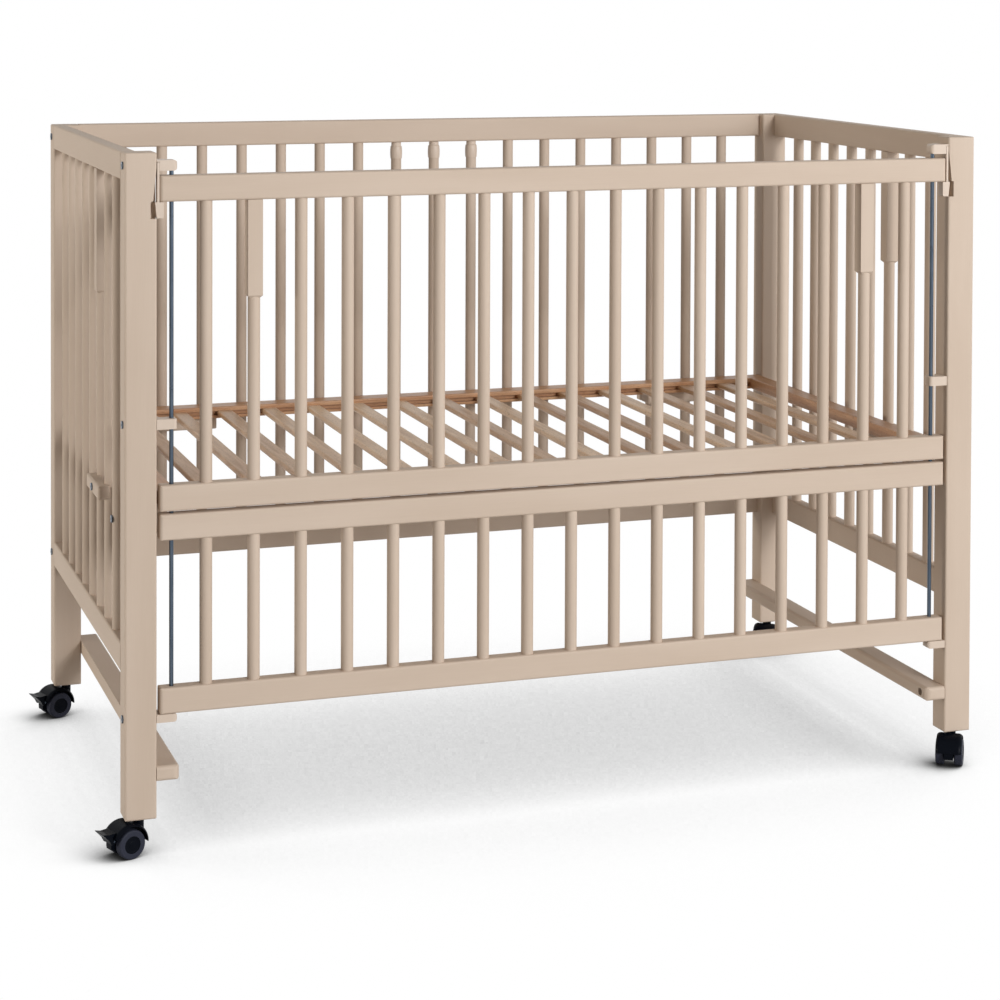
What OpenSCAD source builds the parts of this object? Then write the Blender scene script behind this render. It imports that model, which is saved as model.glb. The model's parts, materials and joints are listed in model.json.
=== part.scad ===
// Cot on casters with a sliding front in two gates. Millimetres, Z up, floor at Z = 0.
// X runs along the cot, the front with the gates faces -Y.

/* [Cot] */
// Length over the posts
cot_l = 1305; // [1100:5:1500]
// Width over the posts
cot_w = 700; // [620:10:800]
// Height of the posts' tops above the floor
cot_h = 965; // [920:5:1050]
// Height of the posts' lower ends above the floor
post_z = 50; // [50:1:60]
// Rounding of the edges of posts and rails
edge_r = 3; // [1:0.5:5]

/* [Posts and rails] */
// Post size along the cot
post_x = 44; // [36:1:50]
// Post size across the cot
post_y = 38; // [34:1:50]
// Thickness of the fixed rails
rail_t = 22; // [20:1:28]
// Height of the fixed rails
rail_h = 39; // [30:1:50]
// Underside of the low rails above the floor
low_rail_z = 247; // [200:1:280]
// Height of a stretcher
stretcher_h = 21; // [18:0.5:40]
// Thickness of a stretcher
stretcher_t = 32; // [24:0.5:36]
// Underside of the stretchers above the floor
stretcher_z = 101; // [80:1:140]

/* [Bars] */
// Diameter of the round bars
bar_d = 17.5; // [16:0.5:20]
// Distance from bar to bar
bar_pitch = 67.3; // [60:0.1:75]
// Distance of the bars' axis from the outer face of their panel
bar_in = 11; // [10.8:0.1:11.5]
// Depth of the bars' sockets in the rails
socket_depth = 10; // [6:1:14]
// Width of the square heads on some of the bars
head_w = 21; // [20.5:0.5:28]
// Length of the square heads in the end panels
end_head_l = 182; // [120:1:220]
// Length of the square heads in the upper gate
gate_head_l = 137; // [90:1:180]
// Chamfer at the lower end of a square head
head_chamfer = 4; // [1:0.5:6]

/* [Gates] */
// Thickness of the gates' rails
gate_t = 22; // [22:1:26]
// Height of the gates' rails
gate_rail_h = 36; // [28:1:44]
// Gap between a gate and the posts
gate_end_gap = 4; // [4:0.5:6]
// Underside of the lower gate above the floor
gate_z = 193; // [160:1:220]
// Height of the lower gate
lower_gate_h = 275; // [220:1:300]
// Gap between the two gates
gate_gap = 4; // [2:0.5:8]
// Top of the upper gate below the posts' tops
gate_top_drop = 32; // [31:1:45]
// Diameter of the guide rods
rod_d = 6; // [5:0.5:10]
// Distance of a rod's axis from its post
rod_in = 22; // [20:1:26]

/* [Rod fittings] */
// Reach of a fitting past its rod's axis
fitting_past = 6.7; // [6.5:0.1:9]
// Depth of a fitting where it lies on its post
fitting_depth = 26; // [22:1:30]
// Thickness of a bracket's foot on its post
foot_t = 6; // [4:0.5:8]
// Height of the top fittings
top_fitting_h = 14.5; // [14:0.5:18]
// Top of the top fittings below the posts' tops
top_fitting_drop = 11; // [8:0.5:11]
// Height of the middle brackets
mid_bracket_h = 14; // [12:0.5:24]
// Underside of the middle brackets above the floor
mid_bracket_z = 585; // [530:1:640]
// Height of the low brackets
low_bracket_h = 11; // [10:0.5:20]

/* [Latches] */
// Thickness of a latch's leaf
leaf_t = 3; // [2:0.1:3]
// Width of a latch's leaf
leaf_w = 11; // [6:0.5:11.5]
// Gap between a latch's leaf and its post
leaf_gap = 0.5; // [0.4:0.1:0.6]
// Height of a latch's button
button_h = 22; // [14:1:26]
// Reach of a button under the gate's rail
button_reach = 5.5; // [3:0.5:6]
// Depth of a button, from the front of the gate
button_w = 14; // [10:1:18]

/* [Slip bars] */
// Wall of a slip cap round its bar
cap_wall = 1.5; // [1.4:0.1:3]
// Height of a slip cap's barrel
cap_h = 22; // [21:0.5:30]
// Height of a slip cap's neck
cap_neck_h = 5.5; // [5:0.5:8]
// Travel of a slip cap
slip_travel = 9; // [7:0.5:10]
// Diameter of a slip cap's pin
cap_pin_d = 10; // [8:0.5:11]

/* [Mattress base] */
// Underside of the mattress base above the floor
base_z = 478; // [400:1:520]
// Width of the base's long rails
base_rail_w = 36; // [30:1:45]
// Width of the base's end rails
base_end_w = 30; // [24:1:40]
// Height of the base's rails
base_rail_h = 19; // [18:0.5:26]
// Slat width
slat_w = 25; // [18:1:40]
// Slat thickness
slat_t = 9; // [7:0.5:10]
// Distance from slat to slat
slat_pitch = 75; // [60:1:90]
// Slat tops below the tops of the base's rails
slat_drop = 6; // [3:0.5:6]
// Gap between the base and the posts
base_end_gap = 1.5; // [1:0.5:6]
// Gap between the base and the inner faces of the front and the back
base_side_gap = 2; // [2:0.5:8]

/* [Clamps] */
// Length of a clamp's blocks
clamp_l = 104; // [96:1:120]
// Height of a clamp's blocks
clamp_h = 20; // [16:1:26]
// Thickness of a clamp's outer block
clamp_t = 19; // [17:0.5:24]
// Depth of the base's seat on a clamp's inner block
clamp_seat = 22; // [12:1:26]

/* [Fasteners] */
// Diameter of the bolts
bolt_d = 6; // [5:0.5:7]
// Diameter of the bolts' heads
bolt_head_d = 11; // [9:0.5:12]
// Height of the bolts' heads
bolt_head_h = 2; // [1.5:0.5:4]
// Distance of the bolts from the front or back face of a post
bolt_in = 16; // [14:1:18]
// Height of the bolt in the left end's first bar
bar_bolt_z = 442; // [420:1:460]
// Diameter of the dowels
dowel_d = 8; // [6:0.5:10]
// Length of the dowels
dowel_l = 36; // [28:1:44]

/* [Casters] */
// Wheel diameter
wheel_d = 40; // [34:0.5:40]
// Wheel width
wheel_w = 13; // [10:0.5:16]
// Width of the hood's web between the wheels
web_w = 14; // [12:0.5:18]
// Distance of the wheels' axle behind the stem
trail = 20; // [17:0.5:22]
// Gap between a wheel and the hood over it
hood_gap = 4.5; // [3:0.5:4.5]
// Thickness of the hood
hood_t = 3; // [2:0.1:3]
// Diameter of a stem
stem_d = 8; // [7:0.5:9]
// Diameter of an axle
axle_d = 5; // [4:0.5:6]
// Turn of the casters at the left end
yaw_left = 19; // [5:1:30]
// Turn of the casters at the right end
yaw_right = 56; // [50:1:65]
// Reach of a brake pedal past the hood
pedal_l = 13; // [12:0.5:20]
// Width of a brake pedal
pedal_w = 24; // [23:0.5:28]

/* [Hidden] */
$fn = 48;

// Clearances: glued or pressed seats, running fits, loose bolt holes, gaps at rest
seat_fit = 0.05;
run_fit = 0.1;
bolt_fit = 0.2;
rest_gap = 0.3;
// Cutters reach past the faces that they cut
cut = 1;

// Corners, faces and heights of the frame
post_cx = cot_l / 2 - post_x / 2;
post_cy = cot_w / 2 - post_y / 2;
inner_x = cot_l / 2 - post_x;
inner_y = cot_w / 2 - post_y;
top_rail_z = cot_h - rail_h;
low_rail_top = low_rail_z + rail_h;
top_rail_mid = top_rail_z + rail_h / 2;
low_rail_mid = low_rail_z + rail_h / 2;
stretcher_mid = stretcher_z + stretcher_h / 2;
stretcher_r = 5;
stretcher_corner = 9;
stretcher_sink = 14;
bolt_in_post = 20;
bolt_in_rail = 30;

// Bars, counted from the left or from the front
long_bars = floor(2 * inner_x / bar_pitch) - 1;
end_bars = floor(2 * inner_y / bar_pitch) - 1;
function bar_at(i, n) = (i - (n - 1) / 2) * bar_pitch;
end_head_bars = [2];
gate_head_bars = [1, long_bars - 2];

// Gates, from the floor up
lower_gate_top = gate_z + lower_gate_h;
upper_gate_z = lower_gate_top + gate_gap;
upper_gate_top = cot_h - gate_top_drop;
gate_l = 2 * (inner_x - gate_end_gap);
rod_x = inner_x - rod_in;
gate_corner = 5;

// Fittings of the rods
top_fitting_z = cot_h - top_fitting_drop - top_fitting_h;
top_bolt_z = top_fitting_z + top_fitting_h / 2;
low_bracket_z = gate_z - rest_gap - low_bracket_h;
fitting_floor = 2;
fitting_front = 1;
fitting_reach = rod_in + fitting_past;
fitting_r = 5;
mid_bracket_r = 1.5;
low_bracket_r = 4;
bolt_in_fitting = 13;
fitting_foot = bolt_in_fitting + 2.3;
front_bolt_z = [top_bolt_z, mid_bracket_z + mid_bracket_h / 2, low_bracket_z + low_bracket_h / 2];
back_bolt_z = [top_rail_mid, low_rail_mid];

// Latches: each leaf turns about its upper end, which sits in the top fitting
pivot_z = cot_h - top_fitting_drop - 4;
pivot_in = leaf_gap + leaf_t / 2;
button_top = upper_gate_top - gate_rail_h - rest_gap;
button_back = 2.5;
button_chamfer = 1.5;
latch_play = 0.2;
latch_turn = atan((button_reach + latch_play) / (pivot_z - button_top));
notch_top = button_top + (button_back + pivot_in) * sin(latch_turn) + 2 * rest_gap;
notch_depth = button_back + (pivot_z - button_top) * sin(latch_turn) + 2 * rest_gap;
leaf_clear = leaf_gap - rest_gap;
latch_front = 0.5;

// Slip bars: the middle bars of the back, with a capped top under the rail
slip_count = 3;
slip_first = floor(long_bars / 2) - floor(slip_count / 2);
function slip_x(i) = bar_at(slip_first + i, long_bars);
function is_slip(i) = i >= slip_first && i < slip_first + slip_count;
cap_pin_in = 5.5;
cap_grip = 8;
cap_ceiling = 3;
cap_rim = 0.5;
cap_shoulder = 2;
cap_d = bar_d + 2 * cap_wall;
cap_neck_d = bar_d - 1;
cap_top = top_rail_z - rest_gap;
cap_bottom = cap_top - cap_neck_h - cap_h;
slip_bar_top = cap_bottom + cap_grip;
spring_d = 11;
spring_wire = 1.2;
spring_room = 2;
spring_top = cap_top - cap_ceiling;

// Mattress base
base_top = base_z + base_rail_h;
base_l = 2 * (inner_x - base_end_gap);
base_front = cot_w / 2 - gate_t - base_side_gap;
base_back = cot_w / 2 - rail_t - base_side_gap;
base_in_front = base_front - base_rail_w;
base_in_back = base_back - base_rail_w;
base_mid = (base_in_back - base_in_front) / 2;
base_in = base_in_back + base_in_front;
groove_depth = 10;
tongue_step = 1;
tongue_t = slat_t - 2 * tongue_step;
slat_top = base_top - slat_drop;
slat_count = floor((base_l - 2 * base_end_w) / slat_pitch);

// Clamps: two blocks round two bars, seen from outside their panel
clamp_z = base_z - clamp_h;
clamp_split = 2;
clamp_out = clamp_t - bar_in + clamp_split;
clamp_r = 4;
clamp_bolt_in = 14;
end_clamp_at = (bar_at(1, end_bars) + bar_at(2, end_bars)) / 2;
back_clamp_at = (bar_at(1, long_bars) + bar_at(2, long_bars)) / 2;
end_clamp_reach = post_x + base_end_gap + clamp_seat;
back_clamp_reach = rail_t + base_side_gap + clamp_seat;

// Casters, each in its own frame: stem at the origin, wheels behind it towards -X
wheel_r = wheel_d / 2;
wheel_edge = 2.5;
wheel_side_gap = 0.5;
hood_r = wheel_r + hood_gap + hood_t;
hood_w = web_w + 2 * (wheel_side_gap + wheel_w);
hood_shoulder = 7;
hood_low_braked = 25;
hood_low_plain = 8;
web_low = 6;
wheel_cap = 4;
face_sink = 2;
wheel_clear = 1;
stem_up = 30;
stem_down = 14;
collar_r = stem_d / 2 + 3.5;
pedal_pin_d = 3;
pedal_ear_r = 3;
pedal_pin_at = wheel_r + wheel_clear + pedal_ear_r;
pedal_pin_angle = 17;
pedal_pin_x = -pedal_pin_at * cos(pedal_pin_angle);
pedal_pin_z = pedal_pin_at * sin(pedal_pin_angle);
pedal_tip = hood_r + pedal_l;
pedal_turn = 18;
pedal_root_r = hood_r + 0.8;
pedal_slot_r = hood_r + 0.5;
pedal_root_angles = [for (i = [0 : 4]) hood_low_braked - 2 + 4.75 * i];

// Reach of the cot past its middle on each side. The origin lies under the middle of its box.
function hood_reach(yaw, low) =
    let (k = cos(low) * sin(yaw), s = hood_shoulder)
    trail * sin(yaw) + (hood_r - s) * k + (hood_w / 2 - s) * cos(yaw) + s * sqrt(k * k + pow(cos(yaw), 2));
reach_left = post_cx + (trail + pedal_tip) * cos(yaw_left) + pedal_w / 2 * sin(yaw_left);
reach_right = cot_l / 2 + clamp_out + bolt_head_h;
reach_front = post_cy + max(hood_reach(yaw_left, hood_low_braked), hood_reach(yaw_right, hood_low_plain));
reach_back = cot_w / 2 + clamp_out + bolt_head_h;
origin = [(reach_left - reach_right) / 2, (reach_front - reach_back) / 2, 0];

paint = [0.79, 0.71, 0.63];
pale_wood = [0.83, 0.68, 0.50];
zinc = [0.75, 0.75, 0.74];
beige_plastic = [0.82, 0.76, 0.68];
black_plastic = [0.10, 0.10, 0.11];

// Rectangle with round corners, centred
module rounded(w, h, r) {
    square([w - 2 * r, h], center = true);
    square([w, h - 2 * r], center = true);
    for (x = [-1, 1], y = [-1, 1])
        translate([x * (w / 2 - r), y * (h / 2 - r)]) circle(r);
}

// Block with all its edges round, its upright ones by plan_r, standing on Z = 0
module soft_box(x, y, z, r, plan_r) {
    translate([0, 0, z / 2]) intersection() {
        linear_extrude(z, center = true) rounded(x, y, plan_r);
        rotate([90, 0, 0]) linear_extrude(y, center = true) rounded(x, z, r);
        rotate([90, 0, 90]) linear_extrude(x, center = true) rounded(y, z, r);
    }
}

// Cylinder along X from x0 to x1
module rod_x_way(x0, x1, d) {
    translate([x0, 0, 0]) rotate([0, 90, 0]) cylinder(d = d, h = x1 - x0);
}

// Each panel is drawn as seen from outside: x along it, y inward from its outer face
module at_front() {
    translate([0, -cot_w / 2, 0]) children();
}
module at_back() {
    mirror([0, 1, 0]) at_front() children();
}
module at_end(s) {
    mirror([s > 0 ? 1 : 0, 0, 0]) translate([-cot_l / 2, 0, 0]) mirror([1, -1, 0]) children();
}

// What is drawn for the front left corner, put at any corner
module corner(sx, sy) {
    mirror([sx > 0 ? 1 : 0, 0, 0]) mirror([0, sy > 0 ? 1 : 0, 0]) children();
}

// Sockets for bars in the upper or lower face of a rail that stands on Z = 0
module sockets(places, h, up) {
    for (x = places)
        translate([x, bar_in, up ? h - socket_depth : -cut])
            cylinder(d = bar_d + 2 * seat_fit, h = socket_depth + cut);
}

function long_places() = [for (i = [0 : long_bars - 1]) bar_at(i, long_bars)];
function is_in(i, list) = len([for (k = list) if (k == i) k]) > 0;
function end_places() = [for (i = [0 : end_bars - 1]) bar_at(i, end_bars)];

// Round bar between two rails, seated in their sockets
module bar(x, z0, z1) {
    translate([x, bar_in, z0 - socket_depth + rest_gap])
        cylinder(d = bar_d, h = z1 - z0 + 2 * (socket_depth - rest_gap));
}

// Square head round the upper end of a bar, its lower edges chamfered
module head_outline(l) {
    w = head_w / 2;
    c = head_chamfer;
    polygon([[-w, c], [c - w, 0], [w - c, 0], [w, c], [w, l], [-w, l]]);
}
module square_head(x, z1, l) {
    translate([x, bar_in, z1 - l]) intersection() {
        rotate([90, 0, 0]) linear_extrude(head_w, center = true) head_outline(l);
        rotate([90, 0, 90]) linear_extrude(head_w, center = true) head_outline(l);
    }
}

// Dowels of the end rails, drawn for the front left corner
module end_dowels(fit, gap) {
    for (z = [top_rail_mid, low_rail_mid], dz = [-1, 1])
        translate([-cot_l / 2 + rail_t / 2, -inner_y, z + dz * rail_h / 4])
            rotate([90, 0, 0]) cylinder(d = dowel_d + 2 * fit, h = dowel_l + 2 * gap, center = true);
}

module post_blank() {
    translate([-post_cx, -post_cy, post_z]) soft_box(post_x, post_y, cot_h - post_z, edge_r, edge_r);
}
module stem_bore() {
    translate([-post_cx, -post_cy, post_z - cut])
        cylinder(d = stem_d + 2 * run_fit, h = stem_up + rest_gap + cut);
}
module post_bolt_holes(heights) {
    for (z = heights)
        translate([0, -cot_w / 2 + bolt_in, z])
            rod_x_way(-cot_l / 2 - cut, -inner_x + cut, bolt_d + 2 * bolt_fit);
}
module stretcher_bolt_hole() {
    translate([0, -post_cy, stretcher_mid])
        rod_x_way(-inner_x - bolt_in_post - rest_gap, -inner_x + cut, bolt_d + 2 * seat_fit);
}

// Notch for a latch's button, with the slope above it that its leaf swings into
module latch_notch() {
    y0 = -cot_w / 2 - cut;
    wedge_top = pivot_z - leaf_clear / tan(latch_turn);
    wedge_in = (pivot_z - notch_top) * tan(latch_turn) - leaf_clear;
    notch_z = button_top - button_h - 2 * rest_gap;
    translate([-inner_x - notch_depth, y0, notch_z])
        cube([notch_depth + cut, cut + latch_front + button_w + rest_gap, notch_top - notch_z]);
    translate([-inner_x, y0 + cut + latch_front + leaf_w + rest_gap, 0]) rotate([90, 0, 0])
        linear_extrude(cut + latch_front + leaf_w + rest_gap)
            polygon([[0, wedge_top], [-wedge_in, notch_top], [-wedge_in, notch_top - cut],
                [cut, notch_top - cut], [cut, wedge_top]]);
}

module post_front(sx) {
    color(paint) corner(sx, -1) difference() {
        post_blank();
        stem_bore();
        post_bolt_holes(front_bolt_z);
        stretcher_bolt_hole();
        end_dowels(seat_fit, rest_gap);
        latch_notch();
    }
}
module post_back(sx) {
    color(paint) corner(sx, 1) difference() {
        post_blank();
        stem_bore();
        post_bolt_holes(back_bolt_z);
        stretcher_bolt_hole();
        end_dowels(seat_fit, rest_gap);
    }
}

// Fixed rail from post to post, standing on Z = 0
module fixed_rail(l) {
    translate([0, rail_t / 2, rail_h / 2]) rotate([90, 0, 90])
        linear_extrude(l, center = true) rounded(rail_t, rail_h, edge_r);
}
module end_rail(s, z, up) {
    color(paint) difference() {
        at_end(s) translate([0, 0, z]) difference() {
            fixed_rail(2 * inner_y);
            sockets(end_places(), rail_h, up);
        }
        corner(s, -1) end_dowels(seat_fit, rest_gap);
        corner(s, 1) end_dowels(seat_fit, rest_gap);
    }
}
module end_rail_dowels() {
    color(pale_wood) for (sx = [-1, 1], sy = [-1, 1])
        corner(sx, sy) end_dowels(0, 0);
}
module end_panel_bars(s) {
    color(paint) at_end(s) for (i = [0 : end_bars - 1]) {
        difference() {
            bar(bar_at(i, end_bars), low_rail_top, top_rail_z);
            if (s < 0 && i == 0) translate([bar_at(0, end_bars), 0, bar_bolt_z]) rotate([-90, 0, 0])
                cylinder(d = bolt_d + 2 * seat_fit, h = 2 * bar_in);
        }
        if (is_in(i, end_head_bars)) square_head(bar_at(i, end_bars), top_rail_z, end_head_l);
    }
}

// Bolt holes in the ends of a back rail that stands on Z = 0
module back_rail_bolts() {
    for (m = [0, 1])
        mirror([m, 0, 0]) translate([0, bolt_in, rail_h / 2])
            rod_x_way(-inner_x - cut, -inner_x + bolt_in_rail + rest_gap, bolt_d + 2 * seat_fit);
}
module back_top_rail() {
    color(paint) at_back() translate([0, 0, top_rail_z]) difference() {
        fixed_rail(2 * inner_x);
        sockets([for (i = [0 : long_bars - 1]) if (!is_slip(i)) bar_at(i, long_bars)], rail_h, false);
        for (i = [0 : slip_count - 1])
            translate([slip_x(i), bar_in, -cut])
                cylinder(d = cap_pin_d + 4 * run_fit, h = cap_pin_in + 2 * rest_gap + cut);
        back_rail_bolts();
    }
}
module back_bottom_rail() {
    color(paint) at_back() translate([0, 0, low_rail_z]) difference() {
        fixed_rail(2 * inner_x);
        sockets(long_places(), rail_h, true);
        back_rail_bolts();
    }
}
module back_bars() {
    color(paint) at_back() for (i = [0 : long_bars - 1])
        if (!is_slip(i)) bar(bar_at(i, long_bars), low_rail_top, top_rail_z);
}
module slip_bars() {
    z0 = low_rail_top - socket_depth + rest_gap;
    color(paint) at_back() for (i = [0 : slip_count - 1])
        translate([slip_x(i), bar_in, z0]) cylinder(d = bar_d, h = slip_bar_top - z0);
}

// Sprung cap on a slip bar: a bellied barrel and a neck, with a pin that enters the rail
module slip_cap(i) {
    r = cap_d / 2;
    h = cap_h + cap_neck_h;
    bore_h = cap_grip + slip_travel + 2 * rest_gap;
    color(beige_plastic) at_back() translate([slip_x(i), bar_in, cap_bottom]) rotate_extrude() difference() {
        union() {
            polygon([[0, 0], [r - cap_rim, 0], [r, cap_h * 0.35], [r, cap_h * 0.6],
                [r - cap_rim, cap_h - cap_shoulder], [cap_neck_d / 2, cap_h],
                [cap_neck_d / 2, h], [0, h]]);
            square([cap_pin_d / 2, h + rest_gap + cap_pin_in]);
        }
        translate([0, -cut]) square([bar_d / 2 + run_fit, bore_h + cut]);
        square([spring_d / 2 + spring_room / 2, h - cap_ceiling]);
    }
}
module slip_spring(i) {
    h = spring_top - slip_bar_top;
    color(zinc) at_back() translate([slip_x(i), bar_in, slip_bar_top]) difference() {
        cylinder(d = spring_d, h = h);
        translate([0, 0, -cut]) cylinder(d = spring_d - 2 * spring_wire, h = h + 2 * cut);
    }
}

// Stretcher on the inner sides of the two posts of an end, square where it meets them
module stretcher(s) {
    head = bolt_head_d + 2 * bolt_fit;
    color(paint) mirror([s > 0 ? 1 : 0, 0, 0]) difference() {
        intersection() {
            translate([-inner_x + (stretcher_t - stretcher_corner) / 2, 0, stretcher_z])
                soft_box(stretcher_t + stretcher_corner, cot_w, stretcher_h, stretcher_r, stretcher_corner);
            translate([-inner_x, -cot_w, 0]) cube([2 * stretcher_t, 2 * cot_w, cot_h]);
        }
        for (sy = [-1, 1]) translate([0, sy * post_cy, stretcher_mid]) {
            rod_x_way(-inner_x - cut, -inner_x + stretcher_t, bolt_d + 2 * bolt_fit);
            rod_x_way(-inner_x + stretcher_t - stretcher_sink, -inner_x + stretcher_t + cut, head);
        }
    }
}

module guide_rods() {
    z0 = low_bracket_z + fitting_floor;
    z1 = cot_h - top_fitting_drop - fitting_floor - rest_gap;
    color(zinc) at_front() for (s = [-1, 1])
        translate([s * rod_x, bar_in, z0]) cylinder(d = rod_d, h = z1 - z0);
}

// Body of a rod fitting, standing on Z = 0, its foot on the post at X = 0
module fitting_body(foot, h, r) {
    w = 2 * (bar_in - fitting_front);
    intersection() {
        union() {
            translate([0, fitting_front, 0]) cube([foot, fitting_depth, h]);
            translate([0, bar_in, 0]) linear_extrude(h) intersection() {
                rounded(2 * fitting_reach, w, fitting_r);
                translate([0, -w]) square([fitting_reach, 2 * w]);
            }
        }
        translate([0, 2 * fitting_depth, h / 2]) rotate([90, 0, 0])
            linear_extrude(3 * fitting_depth) rounded(2 * fitting_reach, h, r);
    }
}
module fitting_bolt_hole(z) {
    translate([0, bolt_in, z]) rod_x_way(-cut, bolt_in_fitting + rest_gap, bolt_d + 2 * seat_fit);
}
module top_fitting(s) {
    slot_x = leaf_gap + leaf_t + rest_gap;
    slot_y = latch_front + leaf_w + rest_gap;
    slot_h = pivot_z + leaf_t / 2 + rest_gap - top_fitting_z;
    color(beige_plastic) corner(s, -1) translate([-inner_x, -cot_w / 2, top_fitting_z]) difference() {
        fitting_body(fitting_foot, top_fitting_h, fitting_r);
        translate([rod_in, bar_in, -cut])
            cylinder(d = rod_d + 2 * seat_fit, h = top_fitting_h - fitting_floor + cut);
        fitting_bolt_hole(top_bolt_z - top_fitting_z);
        translate([-cut, -cut, -cut]) cube([slot_x + cut, slot_y + cut, slot_h + cut]);
    }
}
module rod_bracket(z, h, r, through) {
    translate([-inner_x, -cot_w / 2, z]) difference() {
        fitting_body(foot_t, h, r);
        translate([rod_in, bar_in, through ? -cut : fitting_floor])
            cylinder(d = rod_d + 2 * seat_fit, h = h + 2 * cut);
        fitting_bolt_hole(h / 2);
    }
}
module rod_brackets() {
    color(beige_plastic) for (s = [-1, 1]) corner(s, -1) {
        rod_bracket(mid_bracket_z, mid_bracket_h, mid_bracket_r, true);
        rod_bracket(low_bracket_z, low_bracket_h, low_bracket_r, false);
    }
}

// Bolt along X, its head's seat at x0 and its tip at x1
module bolt(x0, x1) {
    d = x1 > x0 ? 1 : -1;
    difference() {
        union() {
            rod_x_way(min(x0, x1), max(x0, x1), bolt_d);
            translate([d > 0 ? x0 - bolt_head_h : x0, 0, 0]) rod_x_way(0, bolt_head_h, bolt_head_d);
        }
        translate([x0 - d * bolt_head_h, 0, 0]) rotate([0, 90, 0])
            cylinder(d = bolt_d * 0.7, h = 3, center = true, $fn = 6);
    }
}
module frame_bolts() {
    color(zinc) for (s = [-1, 1]) {
        for (z = front_bolt_z) corner(s, -1)
            translate([0, -cot_w / 2 + bolt_in, z]) bolt(-cot_l / 2, -inner_x + bolt_in_fitting);
        for (z = back_bolt_z) corner(s, 1)
            translate([0, -cot_w / 2 + bolt_in, z]) bolt(-cot_l / 2, -inner_x + bolt_in_rail);
        for (sy = [-1, 1]) corner(s, sy)
            translate([0, -post_cy, stretcher_mid])
                bolt(-inner_x + stretcher_t - stretcher_sink, -inner_x - bolt_in_post);
    }
    color(zinc) at_end(-1) translate([bar_at(0, end_bars), 0, bar_bolt_z]) rotate([0, 0, 90])
        bolt(bar_in - bar_d / 2, bar_in + bar_d / 2 - bolt_head_h);
}

// Rail of a gate, its ends round, bored for the guide rods
module gate_rail(z, up) {
    color(paint) at_front() translate([0, 0, z]) difference() {
        translate([0, gate_t / 2, 0]) soft_box(gate_l, gate_t, gate_rail_h, edge_r, gate_corner);
        sockets(long_places(), gate_rail_h, up);
        for (s = [-1, 1]) translate([s * rod_x, bar_in, -cut])
            cylinder(d = rod_d + 2 * run_fit, h = gate_rail_h + 2 * cut);
    }
}
module gate_bars(z0, z1, heads) {
    color(paint) at_front() for (i = [0 : long_bars - 1]) {
        bar(bar_at(i, long_bars), z0 + gate_rail_h, z1 - gate_rail_h);
        if (is_in(i, heads)) square_head(bar_at(i, long_bars), z1 - gate_rail_h, gate_head_l);
    }
}

// Latch: a leaf that hangs beside the post, with a button that the gate rests on
module latch(s) {
    side = button_h * tan(latch_turn);
    reach = gate_end_gap + button_reach;
    color(beige_plastic) corner(s, -1) translate([-inner_x, -cot_w / 2 + latch_front, 0]) {
        translate([0, leaf_w, 0]) rotate([90, 0, 0]) linear_extrude(leaf_w) {
            translate([leaf_gap, button_top]) square([leaf_t, pivot_z - button_top]);
            translate([pivot_in, pivot_z]) circle(d = leaf_t);
        }
        translate([0, button_w, 0]) rotate([90, 0, 0]) linear_extrude(button_w)
            polygon([[-button_back, button_top], [side - button_back, button_top - button_h],
                [reach - button_chamfer, button_top - button_h],
                [reach, button_top - button_h + button_chamfer], [reach, button_top]]);
    }
}

// Mattress base: the slats' and the end rails' thinner tongues sit in the long rails' grooves
module base_long_rails() {
    groove = tongue_t + 2 * run_fit;
    color(pale_wood) for (y = [-base_front, base_back]) {
        d = y > 0 ? 1 : -1;
        difference() {
            translate([0, y - d * base_rail_w / 2, base_z]) soft_box(base_l, base_rail_w, base_rail_h, 2, 2);
            translate([0, y - d * base_rail_w, slat_top - slat_t / 2])
                cube([2 * base_l, 2 * (groove_depth + rest_gap), groove], center = true);
        }
    }
}
module base_end_rails() {
    color(pale_wood) for (s = [-1, 1]) translate([s * (base_l / 2 - base_end_w / 2), base_mid, 0]) {
        translate([0, 0, base_z + base_rail_h / 2]) rotate([90, 0, 0])
            linear_extrude(base_in, center = true) rounded(base_end_w, base_rail_h, 2);
        translate([0, 0, slat_top - slat_t / 2])
            cube([base_end_w, base_in + 2 * groove_depth, tongue_t], center = true);
    }
}
module base_slats() {
    color(pale_wood) for (i = [0 : slat_count - 1])
        translate([(i - (slat_count - 1) / 2) * slat_pitch, base_mid, slat_top - slat_t / 2])
            rotate([90, 0, 0]) {
                linear_extrude(base_in - 2 * rest_gap, center = true) rounded(slat_w, slat_t, slat_t / 3);
                linear_extrude(base_in + 2 * groove_depth, center = true)
                    rounded(slat_w, tongue_t, tongue_t / 3);
            }
}

// Clamp drawn in its panel, its middle at x = 0 and its blocks between y0 and y1
module clamp_block(y0, y1, hole) {
    translate([0, 0, clamp_z]) difference() {
        translate([0, (y0 + y1) / 2, 0]) soft_box(clamp_l, y1 - y0, clamp_h, clamp_r, clamp_r);
        for (s = [-1, 1]) translate([s * bar_pitch / 2, bar_in, -cut])
            cylinder(d = bar_d + 2 * rest_gap, h = clamp_h + 2 * cut);
        translate([0, y0 - cut, clamp_h / 2]) rotate([-90, 0, 0])
            cylinder(d = hole, h = min(y1 - y0 + 2 * cut, clamp_t + clamp_bolt_in));
    }
}
module at_clamps(end_reach, back_reach) {
    for (s = [-1, 1]) at_end(s) translate([end_clamp_at, 0, 0]) children(0);
    for (m = [0, 1]) mirror([m, 0, 0]) at_back() translate([back_clamp_at, 0, 0]) children(1);
}
module clamp_blocks_outer() {
    color(paint) at_clamps() {
        clamp_block(-clamp_out, bar_in - clamp_split, bolt_d + 2 * bolt_fit);
        clamp_block(-clamp_out, bar_in - clamp_split, bolt_d + 2 * bolt_fit);
    }
}
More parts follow.
